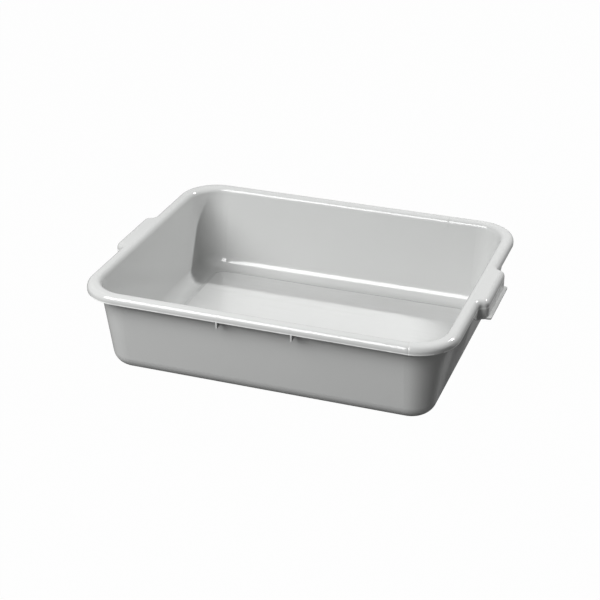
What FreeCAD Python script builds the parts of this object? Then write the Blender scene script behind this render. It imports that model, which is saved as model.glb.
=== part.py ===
import FreeCAD, Part
import os
import math
import Sketcher

# Moulded bus tub, all sizes in mm.
# X runs along the long side (handles at the two ends), Y across, Z up.
# The origin is the middle of the footprint on the resting plane.

doc = FreeCAD.newDocument("bus_tub")
sheet = doc.addObject("Spreadsheet::Sheet", "sizes")

SIZES = [
    # rim as seen from above
    ("rim_length", "533"),
    ("rim_width", "427"),
    ("rim_corner_radius", "59"),
    # heights
    ("tub_height", "130"),
    ("lip_depth", "11.5"),
    # sheet of plastic
    ("wall_thickness", "3"),
    ("rim_overhang", "15"),
    ("wall_corner_radius", "50"),
    ("draft_angle", "7.4"),
    ("bottom_edge_radius", "23"),
    ("rim_edge_radius", "8"),
    # raised middle of the floor
    ("panel_inset", "24"),
    ("panel_rise", "2.4"),
    ("panel_corner_radius", "22"),
    ("panel_edge_angle", "73"),
    # end handles
    ("handle_reach", "12.5"),
    ("handle_flat", "89"),
    ("handle_end_radius", "9"),
    ("handle_drop", "28"),
    ("handle_root", "40"),
    ("skirt_foot", "120"),
    ("skirt_top", "170"),
    # finger ledge along the foot of each handle
    ("ledge_reach", "4.4"),
    ("ledge_length", "104"),
    ("ledge_thickness", "2.2"),
    ("ledge_corner_radius", "3.5"),
    # ribs between the wall and the lip
    ("rib_thickness", "2"),
    ("stack_rib_pitch", "106"),
    ("stack_rib_drop", "21"),
    ("outer_rib_pitch", "318"),
    ("outer_rib_drop", "10"),
    ("handle_rib_pitch", "55"),
    ("handle_rib_drop", "13"),
    ("end_rib_reach", "2.5"),
    ("rib_root", "8"),
    ("rib_setback", "0.5"),
    # how far a cutting shape runs past what it cuts
    ("cut_margin", "5"),
]
for row, (alias, value) in enumerate(SIZES, start=1):
    sheet.set("A%d" % row, alias)
    sheet.set("B%d" % row, value)
    sheet.setAlias("B%d" % row, alias)
doc.recompute()


def size(name):
    return float(sheet.get(name))


def bind(obj, prop, text):
    """Tie a property to the sheet; size names in the text are written with a leading $."""
    obj.setExpression(prop, text.replace("$", "sizes."))


def origin_plane(body, role):
    return [f for f in body.Origin.OriginFeatures if f.Role == role][0]


def new_sketch(body, name, role, height):
    sketch = body.newObject("Sketcher::SketchObject", name)
    sketch.AttachmentSupport = [(origin_plane(body, role), "")]
    sketch.MapMode = "FlatFace"
    bind(sketch, ".AttachmentOffset.Base.z", height)
    return sketch


def line(sketch, a, b):
    return sketch.addGeometry(Part.LineSegment(FreeCAD.Vector(*a, 0), FreeCAD.Vector(*b, 0)))


def arc(sketch, centre, radius, start, end):
    circle = Part.Circle(FreeCAD.Vector(*centre, 0), FreeCAD.Vector(0, 0, 1), radius)
    return sketch.addGeometry(Part.ArcOfCircle(circle, math.radians(start), math.radians(end)))


def rule(sketch, *args):
    return sketch.addConstraint(Sketcher.Constraint(*args))


def sized(sketch, name, text, *args):
    """A named driving constraint tied to the sheet."""
    index = rule(sketch, *args)
    sketch.renameConstraint(index, name)
    bind(sketch, "Constraints." + name, text)


def rounded_rectangle(body, name, height, half_x, half_y, radius, start):
    """Rounded rectangle about the origin; start holds rough half sizes and radius."""
    sketch = new_sketch(body, name, "XY_Plane", height)
    a, b, r = start
    right = line(sketch, (a, -b + r), (a, b - r))
    top = line(sketch, (a - r, b), (-a + r, b))
    left = line(sketch, (-a, b - r), (-a, -b + r))
    bottom = line(sketch, (-a + r, -b), (a - r, -b))
    c1 = arc(sketch, (a - r, b - r), r, 0, 90)
    c2 = arc(sketch, (-a + r, b - r), r, 90, 180)
    c3 = arc(sketch, (-a + r, -b + r), r, 180, 270)
    c4 = arc(sketch, (a - r, -b + r), r, 270, 360)
    for before, corner, after in ((right, c1, top), (top, c2, left), (left, c3, bottom), (bottom, c4, right)):
        rule(sketch, "Tangent", before, 2, corner, 1)
        rule(sketch, "Tangent", corner, 2, after, 1)
    rule(sketch, "Vertical", right)
    rule(sketch, "Horizontal", top)
    rule(sketch, "Vertical", left)
    rule(sketch, "Horizontal", bottom)
    for corner in (c2, c3, c4):
        rule(sketch, "Equal", c1, corner)
    rule(sketch, "Symmetric", c1, 3, c3, 3, -1, 1)
    sized(sketch, "half_x", half_x, "DistanceX", -1, 1, right, 1, a)
    sized(sketch, "half_y", half_y, "DistanceY", -1, 1, top, 1, b)
    sized(sketch, "corner", radius, "Radius", c1, r)
    return sketch


def strip_outline(body, name, role, height, x_low, x_high, half_y, start):
    """Rectangle from x_low to x_high, half_y to each side of the x axis."""
    sketch = new_sketch(body, name, role, height)
    x0, x1, y1 = start
    sides = [line(sketch, (x0, -y1), (x1, -y1)), line(sketch, (x1, -y1), (x1, y1)),
             line(sketch, (x1, y1), (x0, y1)), line(sketch, (x0, y1), (x0, -y1))]
    for k in range(4):
        rule(sketch, "Coincident", sides[k], 2, sides[(k + 1) % 4], 1)
    rule(sketch, "Horizontal", sides[0])
    rule(sketch, "Vertical", sides[1])
    rule(sketch, "Horizontal", sides[2])
    rule(sketch, "Vertical", sides[3])
    sized(sketch, "x_low", x_low, "DistanceX", -1, 1, sides[0], 1, x0)
    sized(sketch, "x_high", x_high, "DistanceX", -1, 1, sides[0], 2, x1)
    sized(sketch, "half_low", half_y, "DistanceY", sides[0], 1, -1, 1, y1)
    sized(sketch, "half_high", half_y, "DistanceY", -1, 1, sides[2], 1, y1)
    return sketch


def rib_outline(body, name, role, offset, face, face_value, root, root_value, drop, sides):
    """Side view of a rib: from the wall (root) out to the lip (face), hanging down by drop."""
    sketch = new_sketch(body, name, role, offset)
    top = size("tub_height") - size("wall_thickness") / 2
    low = size("tub_height") - size(drop)
    mid = size("tub_height") - size("rim_edge_radius") - size("rib_setback")
    crown = size("rim_edge_radius") - size("wall_thickness")
    for side in sides:
        tag = "_p" if side > 0 else "_n"
        corners = [(root_value, top), (root_value, low), (face_value, low), (face_value, mid),
                   (face_value - crown, top)]
        corners = [(side * x, z) for x, z in corners]
        edges = [line(sketch, corners[k], corners[(k + 1) % 5]) for k in range(5)]
        for k in range(5):
            rule(sketch, "Coincident", edges[k], 2, edges[(k + 1) % 5], 1)
        rule(sketch, "Vertical", edges[0])
        rule(sketch, "Horizontal", edges[1])
        rule(sketch, "Vertical", edges[2])
        rule(sketch, "Horizontal", edges[4])
        for key, text, curve, point, value in (("root", root, edges[0], 1, root_value),
                                               ("face", face, edges[1], 2, face_value),
                                               ("crown", face + " - $rim_edge_radius + $wall_thickness",
                                                edges[4], 1, face_value - crown)):
            ends = (-1, 1, curve, point) if side > 0 else (curve, point, -1, 1)
            sized(sketch, key + tag, text, "DistanceX", *ends, value)
        sized(sketch, "top" + tag, "$tub_height - $wall_thickness / 2", "DistanceY", -1, 1, edges[0], 1, top)
        sized(sketch, "low" + tag, "$tub_height - $" + drop, "DistanceY", -1, 1, edges[0], 2, low)
        sized(sketch, "shoulder" + tag, "$tub_height - $rim_edge_radius - $rib_setback", "DistanceY", -1, 1,
              edges[2], 2, mid)
    return sketch


def handle_outline(body, name, height, wall, half_width, start_half_width):
    """Plan of the right-hand handle: the end of the rim with its bulge, inset by wall."""
    sketch = new_sketch(body, name, "XY_Plane", height)
    t = size("wall_thickness") if wall != "0" else 0.0
    x_rim = size("rim_length") / 2
    reach = size("handle_reach")
    half = size("handle_flat") / 2
    r = size("handle_end_radius")
    turn = math.acos(1 - reach / (2 * r))
    run = 2 * r * math.sin(turn)
    deg = math.degrees(turn)
    x_back = x_rim - size("handle_root")
    w = start_half_width
    bulge = (x_rim + reach - r, half)
    hollow = (x_rim + r, half + run)
    face = line(sketch, (bulge[0] + r - t, -half), (bulge[0] + r - t, half))
    out_top = arc(sketch, bulge, r - t, 0, deg)
    in_top = arc(sketch, hollow, r + t, 180, 180 + deg)
    end_top = line(sketch, (x_rim - t, half + run), (x_rim - t, w))
    side_top = line(sketch, (x_rim - t, w), (x_back, w))
    back = line(sketch, (x_back, w), (x_back, -w))
    side_low = line(sketch, (x_back, -w), (x_rim - t, -w))
    end_low = line(sketch, (x_rim - t, -w), (x_rim - t, -half - run))
    in_low = arc(sketch, (hollow[0], -hollow[1]), r + t, 180 - deg, 180)
    out_low = arc(sketch, (bulge[0], -bulge[1]), r - t, -deg, 0)
    rule(sketch, "Tangent", face, 2, out_top, 1)
    rule(sketch, "Tangent", out_top, 2, in_top, 2)
    rule(sketch, "Tangent", in_top, 1, end_top, 1)
    rule(sketch, "Coincident", end_top, 2, side_top, 1)
    rule(sketch, "Coincident", side_top, 2, back, 1)
    rule(sketch, "Coincident", back, 2, side_low, 1)
    rule(sketch, "Coincident", side_low, 2, end_low, 1)
    rule(sketch, "Tangent", end_low, 2, in_low, 2)
    rule(sketch, "Tangent", in_low, 1, out_low, 1)
    rule(sketch, "Tangent", out_low, 2, face, 1)
    for upright in (face, end_top, end_low, back):
        rule(sketch, "Vertical", upright)
    for level in (side_top, side_low):
        rule(sketch, "Horizontal", level)
    sized(sketch, "face_x", "$rim_length / 2 + $handle_reach - " + wall, "DistanceX", -1, 1, face, 1,
          bulge[0] + r - t)
    sized(sketch, "rim_x", "$rim_length / 2 - " + wall, "DistanceX", -1, 1, end_top, 2, x_rim - t)
    sized(sketch, "rim_x_low", "$rim_length / 2 - " + wall, "DistanceX", -1, 1, end_low, 1, x_rim - t)
    sized(sketch, "back_x", "$rim_length / 2 - $handle_root", "DistanceX", -1, 1, back, 1, x_back)
    sized(sketch, "flat_high", "$handle_flat / 2", "DistanceY", -1, 1, face, 2, half)
    sized(sketch, "flat_low", "$handle_flat / 2", "DistanceY", face, 1, -1, 1, half)
    sized(sketch, "side_high", half_width, "DistanceY", -1, 1, side_top, 1, w)
    sized(sketch, "side_below", half_width, "DistanceY", side_low, 1, -1, 1, w)
    for key, curve, text, value in (("out_high", out_top, "$handle_end_radius - " + wall, r - t),
                                    ("out_below", out_low, "$handle_end_radius - " + wall, r - t),
                                    ("in_high", in_top, "$handle_end_radius + " + wall, r + t),
                                    ("in_below", in_low, "$handle_end_radius + " + wall, r + t)):
        sized(sketch, key, text, "Radius", curve, value)
    return sketch


def pad(body, name, sketch, length, taper=None, middle=False):
    feature = body.newObject("PartDesign::Pad", name)
    feature.Profile = sketch
    feature.Midplane = middle
    bind(feature, "Length", length)
    if taper:
        bind(feature, "TaperAngle", taper)
    body.Tip = feature
    doc.recompute()
    return feature


def pocket(body, name, sketch, length, upward=False, taper=None):
    feature = body.newObject("PartDesign::Pocket", name)
    feature.Profile = sketch
    feature.Reversed = upward
    bind(feature, "Length", length)
    if taper:
        bind(feature, "TaperAngle", taper)
    body.Tip = feature
    doc.recompute()
    return feature


def mirrored(body, name, features, role):
    feature = body.newObject("PartDesign::Mirrored", name)
    feature.Originals = features
    feature.MirrorPlane = (origin_plane(body, role), [""])
    body.Tip = feature
    doc.recompute()
    return feature


def fillet(body, name, base, radius, test):
    """Round every edge of the base feature that passes the test."""
    names = ["Edge%d" % (k + 1) for k, edge in enumerate(base.Shape.Edges) if test(edge)]
    if not names:
        raise ValueError("no edges for " + name)
    feature = body.newObject("PartDesign::Fillet", name)
    feature.Base = (base, names)
    bind(feature, "Radius", radius)
    body.Tip = feature
    doc.recompute()
    return feature


def at_height(z, edge):
    box = edge.BoundBox
    return abs(box.ZMin - z) < 0.01 and abs(box.ZMax - z) < 0.01


tub = doc.addObject("PartDesign::Body", "tub")
tub.Label = "tub"

height = size("tub_height")
half_length = size("rim_length") / 2
half_width = size("rim_width") / 2
wall = size("wall_thickness")
overhang = size("rim_overhang")
slope = math.tan(math.radians(size("draft_angle")))

# Rim: a slab with the two handle blocks, rounded along its top edge, then hollowed from below.
rim_plan = rounded_rectangle(tub, "rim_plan", "$tub_height - $lip_depth", "$rim_length / 2", "$rim_width / 2",
                             "$rim_corner_radius", (half_length, half_width, size("rim_corner_radius")))
rim_slab = pad(tub, "rim_slab", rim_plan, "$lip_depth")

handle_plan = handle_outline(tub, "handle_plan", "$tub_height - $handle_drop", "0", "$skirt_top / 2",
                             size("skirt_top") / 2)
handle_block = pad(tub, "handle_block", handle_plan, "$handle_drop")

low = height - size("handle_drop")
mid = height - size("lip_depth")
inner = size("skirt_foot") / 2
outer = size("skirt_top") / 2
margin = size("cut_margin")
skirt_plan = new_sketch(tub, "skirt_plan", "YZ_Plane", "$rim_length / 2 - $handle_root - $cut_margin")
for side in (1, -1):
    tag = "high" if side > 0 else "below"
    slant = line(skirt_plan, (side * inner, low), (side * outer, mid))
    end = line(skirt_plan, (side * outer, mid), (side * (outer + margin), low))
    foot = line(skirt_plan, (side * (outer + margin), low), (side * inner, low))
    rule(skirt_plan, "Coincident", slant, 2, end, 1)
    rule(skirt_plan, "Coincident", end, 2, foot, 1)
    rule(skirt_plan, "Coincident", foot, 2, slant, 1)
    for key, text, curve, point, value in (("foot_", "$skirt_foot / 2", slant, 1, inner),
                                           ("top_", "$skirt_top / 2", slant, 2, outer),
                                           ("end_", "$skirt_top / 2 + $cut_margin", end, 2, outer + margin)):
        ends = (-1, 1, curve, point) if side > 0 else (curve, point, -1, 1)
        sized(skirt_plan, key + tag, text, "DistanceX", *ends, value)
    sized(skirt_plan, "low_a_" + tag, "$tub_height - $handle_drop", "DistanceY", -1, 1, slant, 1, low)
    sized(skirt_plan, "low_b_" + tag, "$tub_height - $handle_drop", "DistanceY", -1, 1, end, 2, low)
    sized(skirt_plan, "mid_" + tag, "$tub_height - $lip_depth", "DistanceY", -1, 1, slant, 2, mid)
skirt_cut = pocket(tub, "skirt_cut", skirt_plan, "$handle_root + $handle_reach + 2 * $cut_margin", upward=True)

ledge_half = size("ledge_length") / 2
ledge_x = half_length + size("handle_reach") + size("ledge_reach")
ledge_plan = strip_outline(tub, "ledge_plan", "XY_Plane", "$tub_height - $handle_drop",
                           "$rim_length / 2 - $wall_thickness", "$rim_length / 2 + $handle_reach + $ledge_reach",
                           "$ledge_length / 2", (half_length - wall, ledge_x, ledge_half))
ledge = pad(tub, "ledge", ledge_plan, "$ledge_thickness")
ends = mirrored(tub, "both_ends", [handle_block, skirt_cut, ledge], "YZ_Plane")


def ledge_corner(edge):
    box = edge.BoundBox
    return box.DiagonalLength < size("ledge_thickness") + 0.01 and abs(abs(box.XMin) - ledge_x) < 0.01 \
        and box.ZLength > 1


ledge_round = fillet(tub, "ledge_round", ends, "$ledge_corner_radius", ledge_corner)
fillet(tub, "rim_round", ledge_round, "$rim_edge_radius", lambda e: at_height(height, e))

rim_inside = rounded_rectangle(tub, "rim_inside", "$tub_height - $wall_thickness",
                               "$rim_length / 2 - $wall_thickness", "$rim_width / 2 - $wall_thickness",
                               "$rim_corner_radius - $wall_thickness",
                               (half_length - wall, half_width - wall, size("rim_corner_radius") - wall))
pocket(tub, "rim_hollow", rim_inside, "$tub_height")
handle_inside = handle_outline(tub, "handle_inside", "$tub_height - $wall_thickness", "$wall_thickness",
                               "$skirt_top / 2", size("skirt_top") / 2)
handle_hollow = pocket(tub, "handle_hollow", handle_inside, "$tub_height")
hollows = mirrored(tub, "both_hollows", [handle_hollow], "YZ_Plane")
fillet(tub, "hollow_round", hollows, "$rim_edge_radius - $wall_thickness", lambda e: at_height(height - wall, e))

# Tapered body, drawn at the foot and widening upward into the rim.
foot_x = half_length - overhang - height * slope
foot_y = half_width - overhang - height * slope
foot_r = size("wall_corner_radius") - height * slope
foot_plan = rounded_rectangle(tub, "foot_plan", "0",
                              "$rim_length / 2 - $rim_overhang - $tub_height * tan($draft_angle)",
                              "$rim_width / 2 - $rim_overhang - $tub_height * tan($draft_angle)",
                              "$wall_corner_radius - $tub_height * tan($draft_angle)", (foot_x, foot_y, foot_r))
body_block = pad(tub, "body_block", foot_plan, "$tub_height - $wall_thickness / 2", "$draft_angle")
fillet(tub, "under_round", body_block, "$rim_edge_radius - $wall_thickness", lambda e: at_height(height - wall, e))

# Ribs joining the lip to the wall: two of them on each long side hang below the lip.
setback = size("rib_setback")
root = overhang + wall + size("rib_root")
side_face = ("$rim_width / 2 - $rib_setback", half_width - setback)
side_root = ("$rim_width / 2 - $rim_overhang - $wall_thickness - $rib_root", half_width - root)
stack_plan = rib_outline(tub, "stack_plan", "YZ_Plane", "$stack_rib_pitch / 2", *side_face, *side_root,
                         "stack_rib_drop", (1, -1))
stack_ribs = pad(tub, "stack_ribs", stack_plan, "$rib_thickness", middle=True)
outer_plan = rib_outline(tub, "outer_plan", "YZ_Plane", "$outer_rib_pitch / 2", *side_face, *side_root,
                         "outer_rib_drop", (1, -1))
outer_ribs = pad(tub, "outer_ribs", outer_plan, "$rib_thickness", middle=True)
mirrored(tub, "side_ribs", [stack_ribs, outer_ribs], "YZ_Plane")

# Three ribs inside each handle.
end_root = ("$rim_length / 2 - $rim_overhang - $wall_thickness - $rib_root", half_length - root)
mid_face = ("$rim_length / 2 + $handle_reach - $rib_setback", half_length + size("handle_reach") - setback)
mid_plan = rib_outline(tub, "mid_plan", "XZ_Plane", "0", *mid_face, *end_root, "handle_rib_drop", (1, -1))
pad(tub, "mid_ribs", mid_plan, "$rib_thickness", middle=True)
end_face = ("$rim_length / 2 + $end_rib_reach", half_length + size("end_rib_reach"))
for name, offset in (("front", "$handle_rib_pitch"), ("rear", "-$handle_rib_pitch")):
    plan = rib_outline(tub, name + "_plan", "XZ_Plane", offset, *end_face, *end_root, "handle_rib_drop", (1, -1))
    pad(tub, name + "_ribs", plan, "$rib_thickness", middle=True)

# Inside of the tub.
cavity_plan = rounded_rectangle(tub, "cavity_plan", "$tub_height",
                                "$rim_length / 2 - $rim_overhang - $wall_thickness",
                                "$rim_width / 2 - $rim_overhang - $wall_thickness",
                                "$wall_corner_radius - $wall_thickness",
                                (half_length - overhang - wall, half_width - overhang - wall,
                                 size("wall_corner_radius") - wall))
cavity = pocket(tub, "cavity", cavity_plan, "$tub_height - $wall_thickness", taper="-$draft_angle")
floor_round = fillet(tub, "floor_round", cavity, "$bottom_edge_radius - $wall_thickness",
                     lambda e: at_height(wall, e))
mouth_x = half_length - overhang - wall
mouth_round = fillet(tub, "mouth_round", floor_round, "$rim_edge_radius",
                     lambda e: at_height(height, e) and e.BoundBox.XMax < mouth_x + 0.01
                     and e.BoundBox.XMin > -mouth_x - 0.01)
fillet(tub, "bottom_round", mouth_round, "$bottom_edge_radius", lambda e: at_height(0, e))

# Middle of the floor, pressed up a little so that the tub rests on a band round its edge.
floor_x = "$rim_length / 2 - $rim_overhang - $tub_height * tan($draft_angle) - $panel_inset"
floor_y = "$rim_width / 2 - $rim_overhang - $tub_height * tan($draft_angle) - $panel_inset"
floor_start = (foot_x - size("panel_inset"), foot_y - size("panel_inset"), size("panel_corner_radius"))
recess_plan = rounded_rectangle(tub, "recess_plan", "0", floor_x, floor_y, "$panel_corner_radius", floor_start)
panel_plan = rounded_rectangle(tub, "panel_plan", "$wall_thickness", floor_x, floor_y, "$panel_corner_radius",
                               floor_start)
pad(tub, "panel", panel_plan, "$panel_rise", taper="-$panel_edge_angle")
pocket(tub, "recess", recess_plan, "$panel_rise", upward=True, taper="-$panel_edge_angle")

doc.recompute()
for obj in doc.Objects:
    if "Invalid" in obj.State or "Error" in obj.State:
        raise RuntimeError("%s did not recompute: %s" % (obj.Label, obj.State))
    if obj.isDerivedFrom("PartDesign::Feature") and (obj.Shape.isNull() or not obj.Shape.isValid()):
        raise RuntimeError("%s has no sound shape" % obj.Label)
if tub.Shape.isNull() or not tub.Shape.isValid() or len(tub.Shape.Solids) != 1:
    raise RuntimeError("the tub is not one sound solid")

os.makedirs("parts", exist_ok=True)
tub.Shape.exportStep("parts/tub.step")
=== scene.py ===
import math

import bpy
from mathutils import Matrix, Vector

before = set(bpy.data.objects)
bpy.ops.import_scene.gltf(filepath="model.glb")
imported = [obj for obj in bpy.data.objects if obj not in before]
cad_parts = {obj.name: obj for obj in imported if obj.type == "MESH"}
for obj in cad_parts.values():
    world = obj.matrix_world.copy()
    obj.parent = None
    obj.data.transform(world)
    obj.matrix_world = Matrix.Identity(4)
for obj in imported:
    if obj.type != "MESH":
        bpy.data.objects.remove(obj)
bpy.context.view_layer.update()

# Lengths are in metres from the middle of the tub's footprint: x along the tub, y to its back, z up.
# Directions are an azimuth, in degrees round from +X, and an elevation above the table.
WHITE = (1.0, 1.0, 1.0, 1.0)

# Camera: focal length as a share of the picture's width, direction and distance,
# the height above the table that it faces, and the view's shift from there to the right and up.
SENSOR_WIDTH = 36.0
FOCAL_SHARE = 2.461
CAMERA_AZIMUTH = -70.241
CAMERA_ELEVATION = 26.900
CAMERA_DISTANCE = 2.1531
AIM_HEIGHT = 0.060
AIM_RIGHT = -0.01005
AIM_UP = -0.00064

# Plastic: its colour, how far the tone strays from it, and the least and most roughness.
GREY = (0.475, 0.48, 0.475)
TONE_SPREAD = 0.015
ROUGHNESS = (0.08, 0.12)
PLASTIC_IOR = 1.49

# Patterns: frequency along each axis (per metre) and how many finer layers there are.
CLOUD = {"frequency": (14.0, 14.0, 14.0), "detail": 4.0}
WAVE = {"frequency": (5.0, 14.0, 9.0), "detail": 1.0}
FLOW = {"frequency": (5.0, 55.0, 1.0), "detail": 1.0}
LIP_HIGHLIGHT_PATTERN = {"frequency": (70.0, 70.0, 20.0), "detail": 2.0}
SKIN = {"frequency": (900.0, 900.0, 900.0), "detail": 2.0}
PATTERN_MIDDLE = 0.5

# Unevenness of the surface: full depths of the gentle waviness, of the flow lines that run along the floor
# and end at FLOW_TOP on the rounded foot of the walls, and of the fine skin.
WAVE_DEPTH = 0.0004
FLOW_DEPTH = 0.0016
FLOW_TOP = 0.012
SKIN_DEPTH = 0.000014

# The rim starts this far out and this high up.
RIM_START_X = 0.251
RIM_START_Y = 0.198
RIM_LOW = 0.118
RIM_INNER_EDGE_Y = 0.186

# Sink marks: lines across the rim. The ones over the ribs are a share as deep as the two single ones,
# which are on the front rim and on the back rim, towards the right.
MARK_WIDTH = 0.0016
MARK_DEPTH = 0.0003
LONG_SIDE_RIBS = (0.053,)
SHORT_SIDE_RIBS = (0.0, 0.055)
RIB_MARK_SHARE = 0.35
FRONT_MARK = 0.212
BACK_MARK = 0.159

# Painted highlight: a thin, uneven, brighter edge along the foot of the lip, where the mould parted and the
# edge catches the light.
LIP_INSET = 0.003
LIP_FOOT = 0.1185
LIP_HIGHLIGHT_HEIGHT = 0.0024
LIP_HIGHLIGHT_GAIN = 2.2

# Lamps: direction, size and strength (watts).
# The key is a strip level with the tub's long side, so the back rim's shadow on the floor has a crisp edge.
LAMP_DISTANCE = 2.4
KEY = {"azimuth": 51.0, "elevation": 42.0, "width": 0.8, "height": 0.09, "power": 57.0,
       "level_with_side": True}
FILL = {"azimuth": 239.0, "elevation": 41.0, "width": 1.8, "height": 1.4, "power": 84.0}

# Room: its light from all round, and how white it looks in reflections.
ROOM_STRENGTH = 0.05
ROOM_MIRRORED = 0.8

# Table top: the colour that it passes light on with, and how white it looks directly and in reflections.
TABLE_SIZE = 12.0
TABLE_COLOUR = (0.14, 0.14, 0.14, 1.0)
TABLE_WHITE_SEEN = 0.985
TABLE_WHITE_MIRRORED = 0.04


def new_material(name):
    """A material with an empty node tree and an output node."""
    material = bpy.data.materials.new(name)
    material.use_nodes = True
    tree = material.node_tree
    tree.nodes.clear()
    output = tree.nodes.new("ShaderNodeOutputMaterial")
    return material, tree, output


def add_node(tree, kind, **values):
    """A node with the given input values set by socket name."""
    node = tree.nodes.new(kind)
    for name, value in values.items():
        node.inputs[name.replace("_", " ")].default_value = value
    return node


def arithmetic(tree, operation, first, second):
    """A maths node on two inputs, each a socket or a number."""
    node = tree.nodes.new("ShaderNodeMath")
    node.operation = operation
    for socket, value in zip(node.inputs, (first, second)):
        if isinstance(value, bpy.types.NodeSocket):
            tree.links.new(value, socket)
        else:
            socket.default_value = value
    return node.outputs[0]


def axes(tree, place):
    """The x, y and z of a place."""
    split = tree.nodes.new("ShaderNodeSeparateXYZ")
    tree.links.new(place, split.inputs[0])
    return split.outputs


def beyond(tree, distance, limit):
    """1 past the limit on either side of the middle, 0 inside it."""
    return arithmetic(tree, "GREATER_THAN", arithmetic(tree, "ABSOLUTE", distance, 0.0), limit)


def between(tree, share, low, high):
    """The value the given share of the way from low to high."""
    node = add_node(tree, "ShaderNodeMapRange", To_Min=low, To_Max=high)
    tree.links.new(share, node.inputs["Value"])
    return node.outputs["Result"]


def line_across(tree, distance, width):
    """1 where the distance is nought, fading smoothly to 0 at the given width."""
    fade = add_node(tree, "ShaderNodeMapRange", From_Max=width, To_Min=1.0, To_Max=0.0)
    fade.interpolation_type = "SMOOTHSTEP"
    tree.links.new(arithmetic(tree, "ABSOLUTE", distance, 0.0), fade.inputs["Value"])
    return fade.outputs["Result"]


def pattern(tree, place, frequency, detail):
    """Soft noise about PATTERN_MIDDLE, with its own frequency along each axis."""
    stretch = tree.nodes.new("ShaderNodeVectorMath")
    stretch.operation = "MULTIPLY"
    stretch.inputs[1].default_value = frequency
    tree.links.new(place, stretch.inputs[0])
    texture = add_node(tree, "ShaderNodeTexNoise", Scale=1.0, Detail=detail)
    tree.links.new(stretch.outputs["Vector"], texture.inputs["Vector"])
    return texture.outputs["Fac"]


def bump(tree, height, depth, normal=None):
    """A bump of the given full depth, laid over an earlier one."""
    node = add_node(tree, "ShaderNodeBump", Strength=1.0, Distance=depth)
    tree.links.new(height, node.inputs["Height"])
    if normal:
        tree.links.new(normal, node.inputs["Normal"])
    return node.outputs["Normal"]


def marks_along(tree, along, places, across, rim_start):
    """Lines at the given distances along a side, only out on the rim."""
    marks = 0.0
    for place in places:
        distance = arithmetic(tree, "SUBTRACT", arithmetic(tree, "ABSOLUTE", along, 0.0), place)
        marks = arithmetic(tree, "MAXIMUM", line_across(tree, distance, MARK_WIDTH), marks)
    return arithmetic(tree, "MULTIPLY", marks, beyond(tree, across, rim_start))


def sink_marks(tree, place):
    """Up to 1 on the sink marks of the rim and handles, 0 elsewhere."""
    x, y, z = axes(tree, place)
    long_sides = marks_along(tree, x, LONG_SIDE_RIBS, y, RIM_START_Y)
    short_sides = marks_along(tree, y, SHORT_SIDE_RIBS, x, RIM_START_X)
    over_ribs = arithmetic(tree, "MAXIMUM", long_sides, short_sides)
    marks = arithmetic(tree, "MULTIPLY", over_ribs, RIB_MARK_SHARE)
    on_front = arithmetic(tree, "LESS_THAN", y, -RIM_START_Y)
    on_back = arithmetic(tree, "GREATER_THAN", y, RIM_INNER_EDGE_Y)
    for mark_x, on_rim in ((FRONT_MARK, on_front), (BACK_MARK, on_back)):
        line = line_across(tree, arithmetic(tree, "SUBTRACT", x, mark_x), MARK_WIDTH)
        marks = arithmetic(tree, "MAXIMUM", marks, arithmetic(tree, "MULTIPLY", line, on_rim))
    return arithmetic(tree, "MULTIPLY", marks, arithmetic(tree, "GREATER_THAN", z, RIM_LOW))


def painted_lip_highlight(tree, place):
    """Up to 1 on the lowest part of the lip's outside, where a highlight is painted into the colour, 0
    elsewhere.
    """
    x, y, z = axes(tree, place)
    outside_x = beyond(tree, x, RIM_START_X + LIP_INSET)
    outside_y = beyond(tree, y, RIM_START_Y + LIP_INSET)
    outside = arithmetic(tree, "MAXIMUM", outside_x, outside_y)
    line = line_across(tree, arithmetic(tree, "SUBTRACT", z, LIP_FOOT), LIP_HIGHLIGHT_HEIGHT)
    uneven = arithmetic(tree, "MULTIPLY", line, pattern(tree, place, **LIP_HIGHLIGHT_PATTERN))
    return arithmetic(tree, "MULTIPLY", uneven, outside)


def flow_lines(tree, place):
    """Ripples about 0 on the floor, flat above it."""
    x, y, z = axes(tree, place)
    ripples = arithmetic(tree, "SUBTRACT", pattern(tree, place, **FLOW), PATTERN_MIDDLE)
    return arithmetic(tree, "MULTIPLY", ripples, line_across(tree, z, FLOW_TOP))


def grey_plastic():
    """Glossy moulded polypropylene, slightly uneven in tone, gloss and surface, with the mould's sink marks
    and a painted highlight along the foot of the lip.
    """
    material, tree, output = new_material("grey_plastic")
    place = tree.nodes.new("ShaderNodeTexCoord").outputs["Object"]
    cloud = pattern(tree, place, **CLOUD)

    normal = bump(tree, pattern(tree, place, **WAVE), WAVE_DEPTH)
    normal = bump(tree, flow_lines(tree, place), FLOW_DEPTH, normal)
    normal = bump(tree, arithmetic(tree, "SUBTRACT", 1.0, sink_marks(tree, place)), MARK_DEPTH, normal)
    normal = bump(tree, pattern(tree, place, **SKIN), SKIN_DEPTH, normal)

    tone = between(tree, cloud, 1.0 - TONE_SPREAD, 1.0 + TONE_SPREAD)
    # The foot of the lip is painted brighter: a painted highlight, not a colour of the plastic.
    lip_highlight_gain = between(tree, painted_lip_highlight(tree, place), 1.0, LIP_HIGHLIGHT_GAIN)
    colour = tree.nodes.new("ShaderNodeVectorMath")
    colour.operation = "SCALE"
    colour.inputs[0].default_value = GREY
    tree.links.new(arithmetic(tree, "MULTIPLY", tone, lip_highlight_gain), colour.inputs["Scale"])

    plastic = add_node(tree, "ShaderNodeBsdfPrincipled", IOR=PLASTIC_IOR)
    tree.links.new(colour.outputs["Vector"], plastic.inputs["Base Color"])
    tree.links.new(between(tree, cloud, *ROUGHNESS), plastic.inputs["Roughness"])
    tree.links.new(normal, plastic.inputs["Normal"])
    tree.links.new(plastic.outputs["BSDF"], output.inputs["Surface"])
    return material


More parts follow.
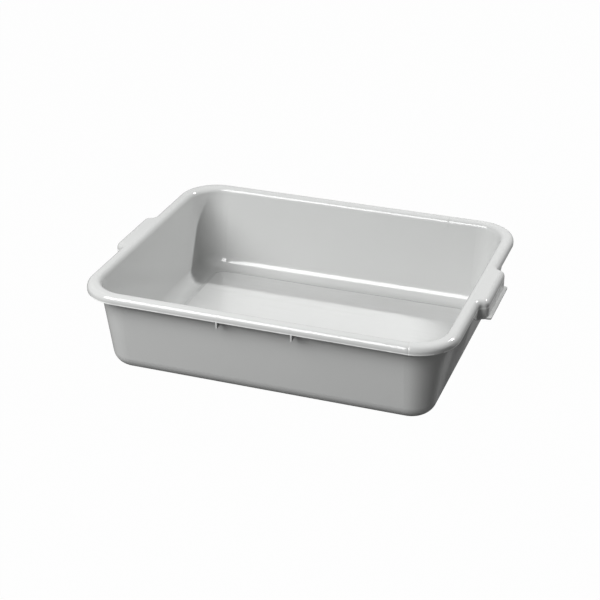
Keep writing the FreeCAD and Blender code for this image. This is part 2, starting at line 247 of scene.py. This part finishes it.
def whiteness(tree, seen, mirrored):
    """One share for rays from the camera, one for reflected or refracted rays, 0 for all other light."""
    path = tree.nodes.new("ShaderNodeLightPath")
    mirror = arithmetic(tree, "MAXIMUM", path.outputs["Is Glossy Ray"], path.outputs["Is Transmission Ray"])
    by_camera = arithmetic(tree, "MULTIPLY", path.outputs["Is Camera Ray"], seen)
    by_mirror = arithmetic(tree, "MULTIPLY", mirror, mirrored)
    return arithmetic(tree, "MAXIMUM", by_camera, by_mirror)


def white_room():
    """White behind everything, and a low even light from all round."""
    world = bpy.data.worlds.new("room")
    bpy.context.scene.world = world
    world.use_nodes = True
    tree = world.node_tree
    tree.nodes.clear()
    sky = add_node(tree, "ShaderNodeBackground", Color=WHITE)
    strength = between(tree, whiteness(tree, 1.0, ROOM_MIRRORED), ROOM_STRENGTH, 1.0)
    tree.links.new(strength, sky.inputs["Strength"])
    output = tree.nodes.new("ShaderNodeOutputWorld")
    tree.links.new(sky.outputs["Background"], output.inputs["Surface"])


def table_top():
    """A wide white table top that keeps a faint shadow of the object."""
    bpy.ops.mesh.primitive_plane_add(size=TABLE_SIZE, location=(0, 0, 0))
    table = bpy.context.object
    table.name = "floor"
    material, tree, output = new_material("table_top")
    diffuse = add_node(tree, "ShaderNodeBsdfDiffuse", Color=TABLE_COLOUR)
    glow = add_node(tree, "ShaderNodeEmission", Color=WHITE, Strength=1.0)
    mix = tree.nodes.new("ShaderNodeMixShader")
    tree.links.new(whiteness(tree, TABLE_WHITE_SEEN, TABLE_WHITE_MIRRORED), mix.inputs[0])
    tree.links.new(diffuse.outputs["BSDF"], mix.inputs[1])
    tree.links.new(glow.outputs["Emission"], mix.inputs[2])
    tree.links.new(mix.outputs["Shader"], output.inputs["Surface"])
    table.data.materials.append(material)


def direction(azimuth, elevation):
    """The unit vector that points from the tub in the given direction."""
    az = math.radians(azimuth)
    el = math.radians(elevation)
    return Vector((math.cos(az) * math.cos(el), math.sin(az) * math.cos(el), math.sin(el)))


def set_up(name, data, shift, back):
    """A lamp or camera, shifted from the middle of the tub, with its back to the given direction."""
    obj = bpy.data.objects.new(name, data)
    bpy.context.scene.collection.objects.link(obj)
    obj.location = Vector((0, 0, AIM_HEIGHT)) + shift
    obj.rotation_euler = back.to_track_quat("Z", "Y").to_euler()
    return obj


def lamp(name, azimuth, elevation, width, height, power, level_with_side=False):
    """A soft lamp aimed at the middle of the tub, or turned parallel to its long side."""
    data = bpy.data.lights.new(name, "AREA")
    data.shape = "RECTANGLE"
    data.size = width
    data.size_y = height
    data.energy = power
    outwards = direction(azimuth, elevation)
    back = Vector((0, outwards.y, outwards.z)) if level_with_side else outwards
    set_up(name, data, outwards * LAMP_DISTANCE, back)


def camera():
    """The camera at the photograph's viewing angle."""
    data = bpy.data.cameras.new("camera")
    data.sensor_width = SENSOR_WIDTH
    data.lens = SENSOR_WIDTH * FOCAL_SHARE
    back = direction(CAMERA_AZIMUTH, CAMERA_ELEVATION)
    right = Vector((0, 0, 1)).cross(back).normalized()
    up = back.cross(right)
    shift = back * CAMERA_DISTANCE + right * AIM_RIGHT + up * AIM_UP
    bpy.context.scene.camera = set_up("camera", data, shift, back)


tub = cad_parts["tub"]
tub.data.materials.clear()
tub.data.materials.append(grey_plastic())

white_room()
table_top()
lamp("key", **KEY)
lamp("fill", **FILL)
camera()
bpy.context.scene.view_settings.view_transform = "Standard"
